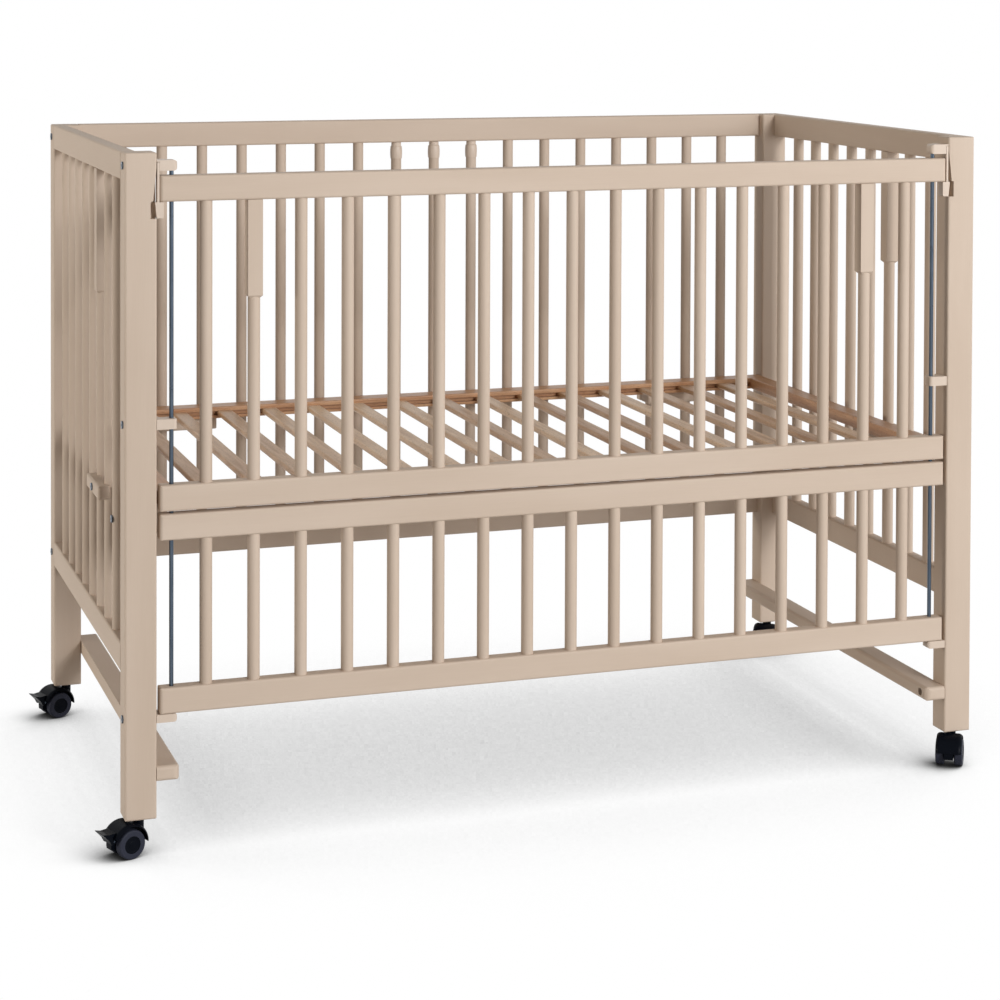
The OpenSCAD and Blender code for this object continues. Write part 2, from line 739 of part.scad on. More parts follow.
module clamp_blocks_inner() {
    color(paint) at_clamps() {
        clamp_block(bar_in + clamp_split, end_clamp_reach, bolt_d + 2 * seat_fit);
        clamp_block(bar_in + clamp_split, back_clamp_reach, bolt_d + 2 * seat_fit);
    }
}
module clamp_bolt() {
    translate([0, 0, clamp_z + clamp_h / 2]) rotate([0, 0, 90])
        bolt(-clamp_out, bar_in + clamp_split + clamp_bolt_in);
}
module clamp_bolts() {
    color(zinc) at_clamps() {
        clamp_bolt();
        clamp_bolt();
    }
}

// Caster at a corner, drawn in its own frame
module caster_at(sx, sy) {
    translate([sx * post_cx, sy * post_cy, 0]) rotate([0, 0, sx < 0 ? yaw_left : yaw_right]) children();
}
module at_axle() {
    translate([-trail, 0, wheel_r]) children();
}
// Cylinder across the caster, centred on its middle plane
module across(d, w) {
    rotate([90, 0, 0]) cylinder(d = d, h = w, center = true);
}

module hood(sx, sy) {
    far = 2 * hood_r;
    low = sx < 0 ? hood_low_braked : hood_low_plain;
    fender_end = [-far * cos(low), far * sin(low)];
    color(black_plastic) caster_at(sx, sy) difference() {
        union() {
            at_axle() intersection() {
                rotate([90, 0, 0]) rotate_extrude() intersection() {
                    difference() {
                        rounded(2 * hood_r, hood_w, hood_shoulder);
                        square([2 * (hood_r - hood_t), hood_w + cut], center = true);
                    }
                    translate([0, -hood_w]) square([far, 2 * hood_w]);
                }
                rotate([90, 0, 0]) linear_extrude(2 * hood_w, center = true)
                    polygon([[0, 0], [far, 0], [far, far], [-far, far], fender_end]);
            }
            at_axle() rotate([90, 0, 0]) linear_extrude(web_w, center = true) difference() {
                circle(hood_r - hood_t / 2);
                translate([0, -far - web_low]) square(2 * far, center = true);
            }
            translate([0, 0, wheel_r]) cylinder(r = collar_r, h = post_z - rest_gap - wheel_r);
        }
        at_axle() across(axle_d + 2 * seat_fit, far);
        for (s = [-1, 1]) at_axle() translate([0, s * (web_w / 2 + hood_w), 0])
            across(wheel_d + 2 * wheel_clear, 2 * hood_w);
        translate([0, 0, post_z - stem_down]) cylinder(d = stem_d + 2 * seat_fit, h = stem_down);
        if (sx < 0) at_axle() translate([pedal_pin_x, 0, pedal_pin_z])
            across(pedal_pin_d + 2 * seat_fit, far);
    }
}
module axle_pins(sx, sy) {
    color(zinc) caster_at(sx, sy) {
        translate([0, 0, post_z - stem_down + rest_gap])
            cylinder(d = stem_d, h = stem_down - rest_gap + stem_up);
        at_axle() across(axle_d, hood_w - 2 * wheel_cap);
        if (sx < 0) at_axle() translate([pedal_pin_x, 0, pedal_pin_z])
            across(pedal_pin_d, pedal_w - 2);
    }
}

// Wheel with a rounded tread, a sunk face and a blind bore for the axle
module wheel(sx, sy, side) {
    face_r = wheel_r * 0.6;
    color(black_plastic) caster_at(sx, sy) at_axle()
        translate([0, side * (web_w / 2 + wheel_side_gap + wheel_w / 2), 0]) rotate([-side * 90, 0, 0])
            rotate_extrude() difference() {
                intersection() {
                    rounded(wheel_d, wheel_w, wheel_edge);
                    translate([0, -wheel_w]) square([wheel_d, 2 * wheel_w]);
                }
                translate([0, wheel_w / 2 - face_sink]) square([face_r, face_sink + cut]);
                translate([0, -wheel_w / 2 - cut])
                    square([axle_d / 2 + run_fit, wheel_w - wheel_cap + rest_gap + cut]);
            }
}

// Brake pedal, hinged at the rear of the hood, its root following the hood's back. The slot for
// the hood's web is wide enough for a pressed pedal too.
module pedal(sy) {
    x = pedal_pin_x;
    z = pedal_pin_z;
    root = [for (a = pedal_root_angles) pedal_root_r * [-cos(a), sin(a)]];
    top = root[len(root) - 1][1];
    plate = [[-pedal_root_r - pedal_l * 0.3, top - 1], [-pedal_tip, top + 1], [-pedal_tip, top],
        [-pedal_tip + pedal_l * 0.35, top - 4.5], [-pedal_root_r - pedal_l * 0.2, z + 2],
        [-pedal_root_r + 1, z - 4.5]];
    color(black_plastic) caster_at(-1, sy) at_axle() difference() {
        rotate([90, 0, 0]) linear_extrude(pedal_w, center = true) {
            translate([x, z]) circle(pedal_ear_r);
            polygon(concat([[x, z + pedal_ear_r]], root, plate, [[x, z - pedal_ear_r]]));
        }
        across(2 * pedal_slot_r, web_w + 2 * rest_gap);
        translate([x, 0, z]) across(pedal_pin_d + 2 * run_fit, 2 * pedal_w);
    }
}

translate(origin) post_front(-1);  // post_front_left
translate(origin) post_front(1);  // post_front_right
translate(origin) post_back(-1);  // post_back_left
translate(origin) post_back(1);  // post_back_right
translate(origin) end_rail(-1, top_rail_z, false);  // end_top_rail_left
translate(origin) end_rail(1, top_rail_z, false);  // end_top_rail_right
translate(origin) end_rail(-1, low_rail_z, true);  // end_bottom_rail_left
translate(origin) end_rail(1, low_rail_z, true);  // end_bottom_rail_right
translate(origin) end_panel_bars(-1);  // end_bars_left
translate(origin) end_panel_bars(1);  // end_bars_right
translate(origin) end_rail_dowels();
translate(origin) stretcher(-1);  // stretcher_left
translate(origin) stretcher(1);  // stretcher_right
translate(origin) back_top_rail();
translate(origin) back_bottom_rail();
translate(origin) back_bars();
translate(origin) slip_bars();
translate(origin) slip_cap(0);  // slip_cap_1
translate(origin) slip_cap(1);  // slip_cap_2
translate(origin) slip_cap(2);  // slip_cap_3
translate(origin) slip_spring(0);  // slip_spring_1
translate(origin) slip_spring(1);  // slip_spring_2
translate(origin) slip_spring(2);  // slip_spring_3
translate(origin) guide_rods();
translate(origin) top_fitting(-1);  // top_fitting_left
translate(origin) top_fitting(1);  // top_fitting_right
translate(origin) rod_brackets();
translate(origin) frame_bolts();
translate(origin) gate_rail(upper_gate_top - gate_rail_h, false);  // upper_gate_top_rail
translate(origin) gate_rail(upper_gate_z, true);  // upper_gate_bottom_rail
translate(origin) gate_bars(upper_gate_z, upper_gate_top, gate_head_bars);  // upper_gate_bars
translate(origin) gate_rail(lower_gate_top - gate_rail_h, false);  // lower_gate_top_rail
translate(origin) gate_rail(gate_z, true);  // lower_gate_bottom_rail
translate(origin) gate_bars(gate_z, lower_gate_top, []);  // lower_gate_bars
translate(origin) latch(-1);  // latch_left
translate(origin) latch(1);  // latch_right
translate(origin) base_long_rails();
translate(origin) base_end_rails();
translate(origin) base_slats();
translate(origin) clamp_blocks_outer();
translate(origin) clamp_blocks_inner();
translate(origin) clamp_bolts();
translate(origin) hood(-1, -1);  // hood_front_left
translate(origin) hood(1, -1);  // hood_front_right
translate(origin) hood(-1, 1);  // hood_back_left
translate(origin) hood(1, 1);  // hood_back_right
translate(origin) axle_pins(-1, -1);  // axle_pins_front_left
translate(origin) axle_pins(1, -1);  // axle_pins_front_right
translate(origin) axle_pins(-1, 1);  // axle_pins_back_left
translate(origin) axle_pins(1, 1);  // axle_pins_back_right
translate(origin) wheel(-1, -1, -1);  // wheel_near_front_left
translate(origin) wheel(-1, -1, 1);  // wheel_far_front_left
translate(origin) wheel(1, -1, -1);  // wheel_near_front_right
translate(origin) wheel(1, -1, 1);  // wheel_far_front_right
translate(origin) wheel(-1, 1, -1);  // wheel_near_back_left
translate(origin) wheel(-1, 1, 1);  // wheel_far_back_left
translate(origin) wheel(1, 1, -1);  // wheel_near_back_right
translate(origin) wheel(1, 1, 1);  // wheel_far_back_right
translate(origin) pedal(-1);  // pedal_front_left
translate(origin) pedal(1);  // pedal_back_left
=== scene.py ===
# %% [markdown]
# # A painted cot on casters
#
# The cot stands in a bare pale studio. Its posts, rails and bars are beech under a satin taupe
# lacquer, its mattress base is raw beech, its rods and bolts are plated steel, and its fittings
# and casters are moulded plastic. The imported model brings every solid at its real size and
# place, so this lesson is about light, camera and finish, and about the small forms that the
# solids leave out.

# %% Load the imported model
import json
import math

import bpy
from mathutils import Matrix, Vector


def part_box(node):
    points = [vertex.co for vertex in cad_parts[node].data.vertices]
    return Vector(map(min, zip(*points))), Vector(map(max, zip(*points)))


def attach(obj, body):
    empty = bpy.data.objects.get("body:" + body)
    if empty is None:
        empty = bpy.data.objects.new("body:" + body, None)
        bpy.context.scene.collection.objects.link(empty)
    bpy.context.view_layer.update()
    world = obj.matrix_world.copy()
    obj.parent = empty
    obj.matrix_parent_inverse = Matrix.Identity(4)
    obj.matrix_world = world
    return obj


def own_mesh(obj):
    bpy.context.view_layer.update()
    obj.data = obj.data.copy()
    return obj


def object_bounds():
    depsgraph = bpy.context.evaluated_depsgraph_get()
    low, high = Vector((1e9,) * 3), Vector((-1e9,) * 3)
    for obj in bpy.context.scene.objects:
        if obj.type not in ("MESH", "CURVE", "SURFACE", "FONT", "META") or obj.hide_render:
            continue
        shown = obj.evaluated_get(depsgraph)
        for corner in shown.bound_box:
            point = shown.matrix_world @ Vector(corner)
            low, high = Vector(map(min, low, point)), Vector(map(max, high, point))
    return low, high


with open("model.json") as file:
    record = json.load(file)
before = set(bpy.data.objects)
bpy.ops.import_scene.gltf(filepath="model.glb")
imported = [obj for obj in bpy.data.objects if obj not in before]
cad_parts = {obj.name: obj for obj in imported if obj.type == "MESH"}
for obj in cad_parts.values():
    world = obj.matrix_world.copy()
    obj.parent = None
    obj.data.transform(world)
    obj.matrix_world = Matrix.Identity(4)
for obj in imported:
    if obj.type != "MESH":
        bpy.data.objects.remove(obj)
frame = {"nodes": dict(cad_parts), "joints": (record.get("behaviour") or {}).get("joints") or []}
cad_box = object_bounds()
MM = 0.001
print("CAD box", [[round(v, 4) for v in corner] for corner in cad_box])

# %% [markdown]
# The cot's plan is not symmetrical about the origin, because the brake pedals reach out to the
# left. The posts give the middle of the frame, and everything else is placed from there.

# %% The middle of the frame
def middle_of(*names):
    """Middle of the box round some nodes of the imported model."""
    corners = [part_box(name) for name in names]
    low = Vector([min(c[0][i] for c in corners) for i in range(3)])
    high = Vector([max(c[1][i] for c in corners) for i in range(3)])
    return (low + high) / 2


POSTS = ["post_front_left", "post_front_right", "post_back_left", "post_back_right"]
centre = middle_of(*POSTS)
centre.z = 0.0
print("frame's middle", [round(v, 4) for v in centre])

# %% [markdown]
# The camera stands to the left of the cot's middle, a little above its top rails, and looks
# nearly level. The picture's middle line lies far below the horizon, which is a shift of the
# lens, so upright posts stay upright.

# %% Camera
CAMERA_PLACE_MM = (-1212.8, -3564.5, 1192.9)
CAMERA_YAW = 0.3254
CAMERA_PITCH = 0.0231
CAMERA_ROLL = 0.0035
FOCAL_PX = 2381.9
AXIS_PX = (491.6, 41.1)
PICTURE_PX = 1000


def aim_camera():
    """The camera at the photograph's place, as turns about the room's own axes."""
    data = bpy.data.cameras.new("camera")
    camera = bpy.data.objects.new("camera", data)
    bpy.context.scene.collection.objects.link(camera)
    data.sensor_width = 36.0
    data.lens = FOCAL_PX / PICTURE_PX * data.sensor_width
    data.shift_x = (PICTURE_PX / 2 - AXIS_PX[0]) / PICTURE_PX
    data.shift_y = (AXIS_PX[1] - PICTURE_PX / 2) / PICTURE_PX
    data.clip_end = 100.0
    turn = Matrix.Rotation(-CAMERA_YAW, 3, "Z")
    turn = turn @ Matrix.Rotation(math.pi / 2 - CAMERA_PITCH, 3, "X")
    turn = turn @ Matrix.Rotation(CAMERA_ROLL, 3, "Z")
    camera.matrix_world = Matrix.Translation(centre + Vector(CAMERA_PLACE_MM) * MM) @ turn.to_4x4()
    bpy.context.scene.camera = camera
    return camera


camera = aim_camera()
print("lens", round(camera.data.lens, 2), "mm")

# %% [markdown]
# Light, floor and finishes are all made of nodes. One small function adds a node with its settings
# and its links, and another turns a hex code into the linear values that light is reckoned with.

# %% A node with its settings and links
def srgb(code):
    """Linear colour of an sRGB hex code."""
    parts = [int(code[i:i + 2], 16) / 255 for i in (1, 3, 5)]
    linear = [c / 12.92 if c <= 0.04045 else ((c + 0.055) / 1.055) ** 2.4 for c in parts]
    return (*linear, 1.0)


def node(tree, kind, values=None, links=None, **settings):
    """Adds a node, sets its properties and inputs, and links its inputs to other nodes' outputs."""
    made = tree.nodes.new(kind)
    for key, value in settings.items():
        setattr(made, key, value)
    for key, value in (values or {}).items():
        made.inputs[key].default_value = value
    for key, output in (links or {}).items():
        tree.links.new(output, made.inputs[key])
    return made


# %% [markdown]
# Light for a catalogue picture is broad and soft, so a dim, slightly warm room fills every side.
# Eye and mirrors see a white room in its place. It adds nothing to the light on the cot, so pale
# wood doesn't wash out before a white background.

# %% The room
FILL = 0.25
FILL_TINT = (1.0, 0.95, 0.91, 1.0)
WHITE = (1.0, 1.0, 1.0, 1.0)


def looked_at(tree):
    """1 for the rays of the eye, of mirrors and of glass, 0 for the rays that carry light."""
    path = node(tree, "ShaderNodeLightPath")
    mirrored = node(tree, "ShaderNodeMath", operation="MAXIMUM",
                    links={0: path.outputs["Is Glossy Ray"],
                           1: path.outputs["Is Transmission Ray"]})
    seen = node(tree, "ShaderNodeMath", operation="MAXIMUM",
                links={0: path.outputs["Is Camera Ray"], 1: mirrored.outputs[0]})
    return seen.outputs[0]


def light_room():
    world = bpy.data.worlds.new("white_room")
    bpy.context.scene.world = world
    world.use_nodes = True
    tree = world.node_tree
    tree.nodes.clear()
    fill = node(tree, "ShaderNodeBackground", {"Color": FILL_TINT, "Strength": FILL})
    white = node(tree, "ShaderNodeBackground", {"Color": WHITE, "Strength": 1.0})
    mixed = node(tree, "ShaderNodeMixShader",
                 links={0: looked_at(tree), 1: fill.outputs[0], 2: white.outputs[0]})
    node(tree, "ShaderNodeOutputWorld", links={"Surface": mixed.outputs[0]})


light_room()
bpy.context.scene.view_settings.view_transform = "Standard"
print("fill", FILL)

# %% [markdown]
# A cool lamp stands far in front and above, so that the front and the back of the cot are lit
# nearly alike. A weaker one on the right makes the fronts brighter toward that end. A warm lamp at
# the left, a little above the top rails, lights the end panel and the left sides of posts and bars.

# %% The lamps
COOL = (1.0, 1.025, 1.07)
WARM = (1.0, 0.96, 0.9)
COT_MIDDLE = centre + Vector((0, 0, 0.5))


def lamp(name, offset, size, watts, tint):
    """A square area lamp at an offset from the middle of the posts' feet. It faces the cot."""
    data = bpy.data.lights.new(name, "AREA")
    data.shape = "SQUARE"
    data.size = size
    data.energy = watts
    data.color = tint
    lamp_object = bpy.data.objects.new(name, data)
    bpy.context.scene.collection.objects.link(lamp_object)
    lamp_object.location = centre + Vector(offset)
    facing = COT_MIDDLE - lamp_object.location
    lamp_object.rotation_euler = facing.to_track_quat("-Z", "Y").to_euler()
    print(name, watts, "W")


lamp("front_lamp", (2.2, -8.0, 3.2), 2.0, 422, COOL)
lamp("right_lamp", (3.4, -3.4, 1.5), 1.5, 46, COOL)
lamp("left_lamp", (-7.0, 1.0, 1.2), 1.2, 165, WARM)

# %% [markdown]
# The floor is white paper, matt to the lamps' light. To the eye it glows white, and a painted shade
# darkens that glow where the cot hides the room from it. Two reaches of that painted shade are
# multiplied: a wide one for the whole cot, and a short one that leans to the right, which paints a
# shadow at the left of each caster.

# %% The floor
FLOOR_SIZE = 60
PAPER = (0.7, 0.7, 0.7, 1.0)
WIDE_REACH = 1.0
WIDE_RANGE = {"From Min": 0.2, "From Max": 0.75, "To Min": 0.1, "To Max": 1.0}
# The short reach leans to the right, so its painted shadow falls at the left of each caster.
CASTER_REACH = 0.3
CASTER_LEAN = {"X": 0.85, "Y": -0.1, "Z": 0.52}
CASTER_RANGE = {"From Min": 0.35, "From Max": 0.8, "To Min": 0.1, "To Max": 1.0}


def open_share(tree, reach, spread, lean=None):
    """How much of the room a point of the floor sees within reach, spread over a wider range."""
    side = {"Normal": node(tree, "ShaderNodeCombineXYZ", lean).outputs[0]} if lean else {}
    lit = node(tree, "ShaderNodeAmbientOcclusion", {"Distance": reach}, side, samples=24)
    return node(tree, "ShaderNodeMapRange", spread, {"Value": lit.outputs["AO"]}).outputs[0]


def lay_floor():
    bpy.ops.object.select_all(action="DESELECT")
    bpy.ops.mesh.primitive_plane_add(size=FLOOR_SIZE, location=(0, 0, cad_box[0][2]))
    floor = bpy.context.object
    floor.name = "studio_floor"
    bpy.ops.object.transform_apply(location=True, rotation=True, scale=True)
    material = bpy.data.materials.new("matt_white_floor")
    material.use_nodes = True
    tree = material.node_tree
    tree.nodes.clear()
    matt = node(tree, "ShaderNodeBsdfDiffuse", {"Color": PAPER})
    wide = open_share(tree, WIDE_REACH, WIDE_RANGE)
    near = open_share(tree, CASTER_REACH, CASTER_RANGE, CASTER_LEAN)
    shade = node(tree, "ShaderNodeMath", links={0: wide, 1: near}, operation="MULTIPLY")
    # The eye sees this white glow, darkened by the painted shade, in place of the lit paper.
    glow_with_painted_shade = node(tree, "ShaderNodeEmission", links={"Strength": shade.outputs[0]})
    both = node(tree, "ShaderNodeMixShader",
                links={0: looked_at(tree), 1: matt.outputs[0], 2: glow_with_painted_shade.outputs[0]})
    node(tree, "ShaderNodeOutputMaterial", links={"Surface": both.outputs[0]})
    floor.data.materials.append(material)
    return floor


floor = lay_floor()
print("floor at", round(cad_box[0][2], 4))

# %% [markdown]
# The frame is beech that was sanded, sprayed with a taupe pigmented lacquer and left satin. Such a
# coat hides the wood's colour but not its pores: they print through as faint furrows along the
# grain. The tone drifts a little from blank to blank. Noise that is stretched along the grain
# gives both, and because a post's grain stands up while a rail's lies along the cot, the same
# material is made once for each direction.

# %% Satin lacquer over beech
LACQUER_LIGHT = "#CFBCA9"
LACQUER_DEEP = "#C5B19D"
PORE_MM = (1.1, 45.0)
DRIFT_MM = (60.0, 420.0)


def stretched(along, width_mm, length_mm):
    """Scale of a pattern that runs along one axis, from its cell's real width and length."""
    return [1000 / (length_mm if axis == along else width_mm) for axis in "XYZ"]


def lacquered_beech(along):
    material = bpy.data.materials.new("satin_lacquer_on_beech_grain_" + along.lower())
    material.use_nodes = True
    tree = material.node_tree
    tree.nodes.clear()
    place = node(tree, "ShaderNodeTexCoord")
    pore_place = node(tree, "ShaderNodeMapping", {"Scale": stretched(along, *PORE_MM)},
                      {"Vector": place.outputs["Object"]})
    pores = node(tree, "ShaderNodeTexNoise", {"Scale": 1.0, "Detail": 3.0},
                 {"Vector": pore_place.outputs["Vector"]})
    drift_place = node(tree, "ShaderNodeMapping", {"Scale": stretched(along, *DRIFT_MM)},
                       {"Vector": place.outputs["Object"]})
    drift = node(tree, "ShaderNodeTexNoise", {"Scale": 1.0, "Detail": 2.0},
                 {"Vector": drift_place.outputs["Vector"]})
    both = node(tree, "ShaderNodeMath", {1: 0.25},
                {0: pores.outputs["Fac"], 2: drift.outputs["Fac"]}, operation="MULTIPLY_ADD")
    spread = node(tree, "ShaderNodeMapRange", {"From Min": 0.35, "From Max": 0.9},
                  {"Value": both.outputs[0]})
    colour = node(tree, "ShaderNodeMix", {6: srgb(LACQUER_LIGHT), 7: srgb(LACQUER_DEEP)},
                  {0: spread.outputs[0]}, data_type="RGBA")
    gloss = node(tree, "ShaderNodeMapRange", {"To Min": 0.5, "To Max": 0.6},
                 {"Value": pores.outputs["Fac"]})
    relief = node(tree, "ShaderNodeBump", {"Strength": 0.25, "Distance": 0.0002},
                  {"Height": pores.outputs["Fac"]})
    shader = node(tree, "ShaderNodeBsdfPrincipled", {"IOR": 1.3},
                  {"Base Color": colour.outputs[2], "Roughness": gloss.outputs[0],
                   "Normal": relief.outputs["Normal"]})
    node(tree, "ShaderNodeOutputMaterial", links={"Surface": shader.outputs["BSDF"]})
    return material


def dress(material, *names):
    """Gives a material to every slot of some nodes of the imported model."""
    for name in names:
        for slot in frame["nodes"][name].material_slots:
            slot.material = material
    print(material.name, "on", len(names), "nodes")


dress(lacquered_beech("Z"), *POSTS, "end_bars_left", "end_bars_right", "back_bars", "slip_bars",
      "upper_gate_bars", "lower_gate_bars")
dress(lacquered_beech("X"), "back_top_rail", "back_bottom_rail", "upper_gate_top_rail",
      "upper_gate_bottom_rail", "lower_gate_top_rail", "lower_gate_bottom_rail")
dress(lacquered_beech("Y"), "end_top_rail_left", "end_top_rail_right", "end_bottom_rail_left",
      "end_bottom_rail_right", "stretcher_left", "stretcher_right", "clamp_blocks_outer",
      "clamp_blocks_inner")

# %% [markdown]
# The mattress base is raw beech, planed and sanded. Raw beech is warm and pale, with soft bands
# from its growth rings and short dark flecks, which are rays cut across. Every slat is its own
# stick, so each has its own depth of colour: a random number that is drawn from the slat's place
# along the cot shifts its tone as a whole. The rails are cut from redder boards.

# %% Raw beech
SLAT_TONES = ("#E2C29E", "#AB7F54")
RAIL_TONES = ("#D2A67C", "#A56F46")
BEECH_FLECK = "#6E4A2C"
FLECK_MM = (0.8, 7.0)
RING_MM = (9.0, 120.0)


def raw_beech(part, along, tones, stick_mm=0):
    """stick_mm is the distance along X in which one stick follows the next, or 0 for one tone."""
    material = bpy.data.materials.new("raw_sanded_beech_of_" + part)
    material.use_nodes = True
    tree = material.node_tree
    tree.nodes.clear()
    place = node(tree, "ShaderNodeTexCoord")
    ring_place = node(tree, "ShaderNodeMapping", {"Scale": stretched(along, *RING_MM)},
                      {"Vector": place.outputs["Object"]})
    rings = node(tree, "ShaderNodeTexNoise", {"Scale": 1.0, "Detail": 5.0, "Distortion": 0.6},
                 {"Vector": ring_place.outputs["Vector"]})
    fleck_place = node(tree, "ShaderNodeMapping", {"Scale": stretched(along, *FLECK_MM)},
                       {"Vector": place.outputs["Object"]})
    flecks = node(tree, "ShaderNodeTexNoise", {"Scale": 1.0, "Detail": 1.0},
                  {"Vector": fleck_place.outputs["Vector"]})
    depth = rings.outputs["Fac"]
    if stick_mm:  # every slat draws its own tone
        apart = node(tree, "ShaderNodeSeparateXYZ", links={0: place.outputs["Object"]})
        count = node(tree, "ShaderNodeMath", {1: 1000 / stick_mm}, {0: apart.outputs["X"]},
                     operation="MULTIPLY")
        whole = node(tree, "ShaderNodeMath", links={0: count.outputs[0]}, operation="ROUND")
        draw = node(tree, "ShaderNodeTexWhiteNoise", links={"W": whole.outputs[0]},
                    noise_dimensions="1D")
        shift = node(tree, "ShaderNodeMath", {1: 0.5},
                     {0: draw.outputs["Value"], 2: rings.outputs["Fac"]}, operation="MULTIPLY_ADD")
        moved = node(tree, "ShaderNodeMath", {1: 0.25}, {0: shift.outputs[0]}, operation="SUBTRACT")
        depth = moved.outputs[0]
    banded = node(tree, "ShaderNodeMapRange", {"From Min": 0.2, "From Max": 0.8}, {"Value": depth})
    wood = node(tree, "ShaderNodeMix", {6: srgb(tones[0]), 7: srgb(tones[1])},
                {0: banded.outputs[0]}, data_type="RGBA")
    dark = node(tree, "ShaderNodeMapRange", {"From Min": 0.58, "From Max": 0.72, "To Max": 0.55},
                {"Value": flecks.outputs["Fac"]})
    colour = node(tree, "ShaderNodeMix", {7: srgb(BEECH_FLECK)},
                  {0: dark.outputs[0], 6: wood.outputs[2]}, data_type="RGBA")
    relief = node(tree, "ShaderNodeBump", {"Strength": 0.3, "Distance": 0.0002},
                  {"Height": flecks.outputs["Fac"]})
    shader = node(tree, "ShaderNodeBsdfPrincipled", {"Roughness": 0.4, "IOR": 1.5},
                  {"Base Color": colour.outputs[2], "Normal": relief.outputs["Normal"]})
    node(tree, "ShaderNodeOutputMaterial", links={"Surface": shader.outputs["BSDF"]})
    return material


SLAT_PITCH_MM = 75.0
dress(raw_beech("long_rails", "X", RAIL_TONES), "base_long_rails")
dress(raw_beech("end_rails", "Y", RAIL_TONES), "base_end_rails", "end_rail_dowels")
dress(raw_beech("slats", "Y", SLAT_TONES, SLAT_PITCH_MM), "base_slats")

# %% [markdown]
# The rod fittings, the latches and the slip caps are moulded in a plastic of the lacquer's own
# colour. A spark-eroded mould leaves a fine, even grain of about 0.4 mm, which breaks the gloss
# without showing as a pattern.

# %% Moulded plastic
FLOW_MM = 25.0
ROUGHNESS_DRIFT = 0.07


def moulded_plastic(name, code, roughness, grain_mm, grain_depth_mm, ior):
    material = bpy.data.materials.new(name)
    material.use_nodes = True
    tree = material.node_tree
    tree.nodes.clear()
    place = node(tree, "ShaderNodeTexCoord")
    grain = node(tree, "ShaderNodeTexNoise", {"Scale": 1000 / grain_mm, "Detail": 2.0},
                 {"Vector": place.outputs["Object"]})
    flow = node(tree, "ShaderNodeTexNoise", {"Scale": 1000 / FLOW_MM, "Detail": 1.0},
                {"Vector": place.outputs["Object"]})
    gloss = node(tree, "ShaderNodeMapRange",
                 {"To Min": roughness - ROUGHNESS_DRIFT, "To Max": roughness + ROUGHNESS_DRIFT},
                 {"Value": flow.outputs["Fac"]})
    relief = node(tree, "ShaderNodeBump", {"Strength": 0.3, "Distance": grain_depth_mm * MM},
                  {"Height": grain.outputs["Fac"]})
    shader = node(tree, "ShaderNodeBsdfPrincipled", {"Base Color": srgb(code), "IOR": ior},
                  {"Roughness": gloss.outputs[0], "Normal": relief.outputs["Normal"]})
    node(tree, "ShaderNodeOutputMaterial", links={"Surface": shader.outputs["BSDF"]})
    return material


# Polypropylene: a waxy, softly shining surface in the colour of the lacquer
dress(moulded_plastic("moulded_taupe_polypropylene", "#D0BDAA", 0.42, 0.4, 0.05, 1.49),
      "top_fitting_left", "top_fitting_right", "rod_brackets", "latch_left", "latch_right",
      "slip_cap_1", "slip_cap_2", "slip_cap_3")

# %% [markdown]
# The casters' hoods and pedals are black nylon from a polished mould: dark, with a clear shine on
# their curves. The wheels are nylon too, duller and a little lighter, a dark slate beside the black
# of the hoods.

# %% Black nylon
caster_nylon = moulded_plastic("glossy_black_nylon", "#060910", 0.36, 0.6, 0.04, 1.13)
wheel_nylon = moulded_plastic("dull_slate_nylon", "#2E303B", 0.45, 0.5, 0.06, 1.2)
CORNERS = ["front_left", "front_right", "back_left", "back_right"]
dress(caster_nylon, *["hood_" + corner for corner in CORNERS],
      "pedal_front_left", "pedal_back_left")
dress(wheel_nylon, *["wheel_" + side + "_" + corner
                     for side in ("near", "far") for corner in CORNERS])

# %% [markdown]
# The guide rods are drawn steel with a blue zinc plating. Drawing leaves long fine scratches
# along a rod, and the plating is a little blotchy. Bolts, pins and springs have the same plating
# without the long scratches.

# %% Zinc-plated steel
BLOTCH_MM = 9.0


def plated_steel(name, code, marks_code, mark_mm):
    """mark_mm is the width and length of the marks that the making left."""
    material = bpy.data.materials.new(name)
    material.use_nodes = True
    tree = material.node_tree
    tree.nodes.clear()
    place = node(tree, "ShaderNodeTexCoord")
    mark_place = node(tree, "ShaderNodeMapping", {"Scale": stretched("Z", *mark_mm)},
                      {"Vector": place.outputs["Object"]})
    marks = node(tree, "ShaderNodeTexNoise", {"Scale": 1.0, "Detail": 3.0},
                 {"Vector": mark_place.outputs["Vector"]})
    blotches = node(tree, "ShaderNodeTexNoise", {"Scale": 1000 / BLOTCH_MM, "Detail": 3.0},
                    {"Vector": place.outputs["Object"]})
    gloss = node(tree, "ShaderNodeMapRange", {"To Min": 0.2, "To Max": 0.42},
                 {"Value": blotches.outputs["Fac"]})
    colour = node(tree, "ShaderNodeMix", {6: srgb(code), 7: srgb(marks_code)},
                  {0: marks.outputs["Fac"]}, data_type="RGBA")
    relief = node(tree, "ShaderNodeBump", {"Strength": 0.35, "Distance": 0.0001},
                  {"Height": marks.outputs["Fac"]})
    shader = node(tree, "ShaderNodeBsdfPrincipled", {"Metallic": 1.0},
                  {"Base Color": colour.outputs[2], "Roughness": gloss.outputs[0],
                   "Normal": relief.outputs["Normal"]})
    node(tree, "ShaderNodeOutputMaterial", links={"Surface": shader.outputs["BSDF"]})
    return material


dress(plated_steel("drawn_steel_rod_blue_zinc", "#6E7A88", "#1C2733", (0.6, 30.0)), "guide_rods")
dress(plated_steel("steel_fasteners_blue_zinc", "#7C8794", "#2A3340", (0.8, 0.8)),
      "frame_bolts", "clamp_bolts", "slip_spring_1", "slip_spring_2", "slip_spring_3",
      *["axle_pins_" + corner for corner in CORNERS])

# %% [markdown]
# A cap clicks into the sunk face of each wheel and hides the end of the axle. It is a shallow
# dish with a raised middle. A disc is the start: its top is inset and pushed down to make the
# dish, inset again and pulled up for the middle, and a bevel takes the sharpness off. One cap is
# modelled lying flat, and each wheel gets a copy that is turned and moved in its mesh.

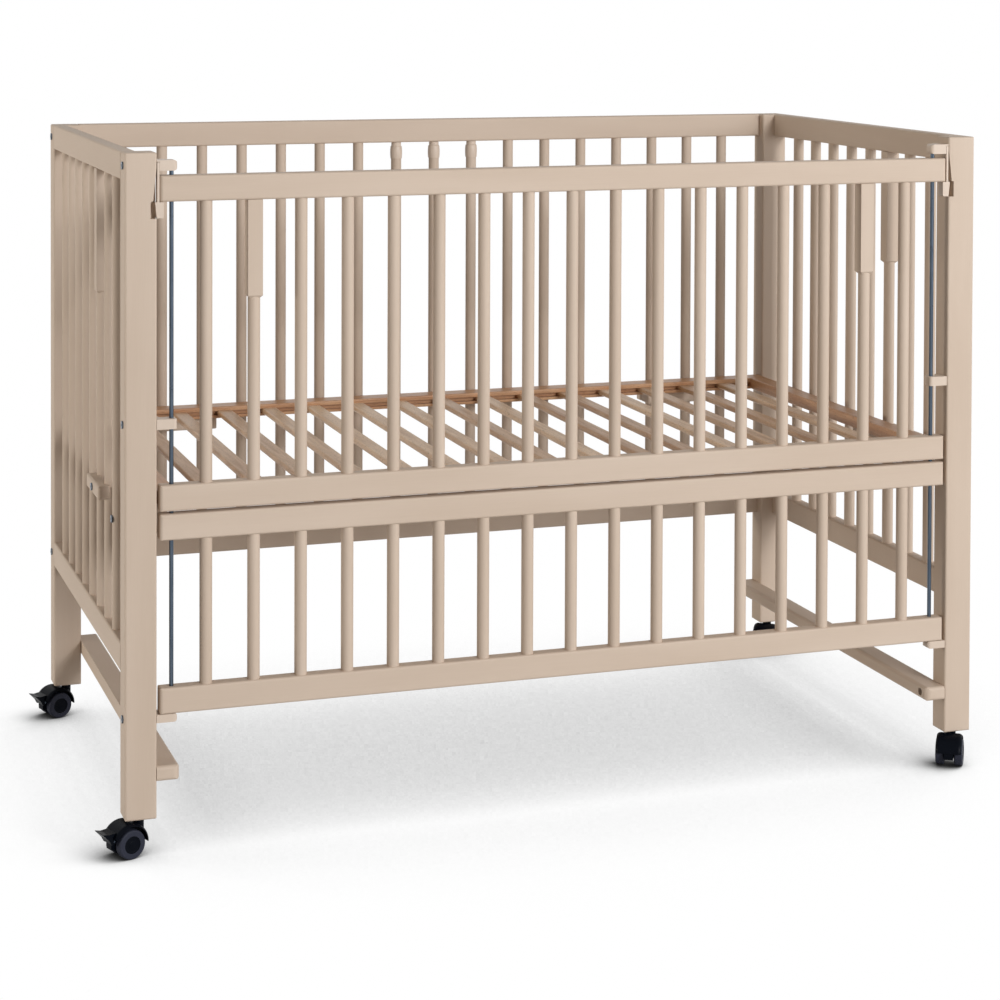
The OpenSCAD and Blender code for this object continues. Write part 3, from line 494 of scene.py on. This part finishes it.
# %% Hub caps
CAP_R = 11.6 * MM
CAP_T = 1.4 * MM
CAP_STEPS = ((1.4 * MM, -0.5 * MM), (5.2 * MM, 0.0), (0.5 * MM, 0.45 * MM))  # inset, push
CAP_BEVEL = 0.18 * MM
WHEEL_HALF = 6.5 * MM
FACE_SUNK = 2 * MM


def model_hub_cap():
    bpy.ops.object.select_all(action="DESELECT")
    bpy.ops.mesh.primitive_cylinder_add(vertices=48, radius=CAP_R, depth=CAP_T)
    cap = bpy.context.object
    cap.name = "hub_cap"
    bpy.ops.object.mode_set(mode="EDIT")
    bpy.ops.mesh.select_mode(type="FACE")
    for inset, push in CAP_STEPS:
        bpy.ops.object.mode_set(mode="OBJECT")
        tops = [f for f in cap.data.polygons if f.normal.z > 0.9]
        middle = min(tops, key=lambda f: f.center.xy.length)
        for face in cap.data.polygons:
            face.select = face.index == middle.index
        bpy.ops.object.mode_set(mode="EDIT")
        bpy.ops.mesh.inset(thickness=inset)
        bpy.ops.transform.translate(value=(0, 0, push))
    bpy.ops.object.mode_set(mode="OBJECT")
    bevel = cap.modifiers.new("edges", "BEVEL")
    bevel.width = CAP_BEVEL
    bevel.segments = 2
    bpy.ops.object.modifier_apply(modifier=bevel.name)
    bpy.ops.object.shade_smooth_by_angle(angle=math.radians(35))
    cap.data.materials.append(caster_nylon)
    return cap


def place_on_wheel(cap, wheel, other):
    """A copy of the cap in the outer face of a wheel. The outer face looks away from the other."""
    wheel_at, other_at = (Vector(joints[name + "_roll"]["pos_m"]) for name in (wheel, other))
    outward = (wheel_at - other_at).normalized()
    seat = wheel_at + outward * (WHEEL_HALF - FACE_SUNK + CAP_T / 2)
    copy = cap.copy()
    copy.data = cap.data.copy()
    copy.name = "hub_cap_" + wheel.removeprefix("wheel_")
    bpy.context.scene.collection.objects.link(copy)
    facing = outward.to_track_quat("Z", "Y").to_matrix().to_4x4()
    copy.data.transform(Matrix.Translation(seat) @ facing)
    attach(copy, wheel)


joints = {joint["name"]: joint for joint in frame["joints"]}
first_cap = model_hub_cap()
for corner in CORNERS:
    place_on_wheel(first_cap, "wheel_near_" + corner, "wheel_far_" + corner)
    place_on_wheel(first_cap, "wheel_far_" + corner, "wheel_near_" + corner)
bpy.data.objects.remove(first_cap)

# %% [markdown]
# Under each slip cap a spring stands on the end of its bar. When the cap is pulled down to free
# the bar, the spring gets shorter by the same way while its lower end stays where it is. Here each
# spring only gets its own mesh, and the share of its length that it would keep is reckoned and
# printed.

# %% Springs under the slip caps
def shorten_spring(spring, joint):
    """Gives a spring its own mesh, and returns the share of its length it would keep if squashed
    towards its foot by the cap's travel.
    """
    low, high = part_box(spring)
    travel = max(abs(limit) for limit in joint["range_m"])
    kept = 1 - travel / (high[2] - low[2])
    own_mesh(frame["nodes"][spring])
    return round(kept, 3)


for number in ("1", "2", "3"):
    spring = "slip_spring_" + number
    print(spring, "keeps", shorten_spring(spring, joints["slip_cap_" + number + "_pull"]))
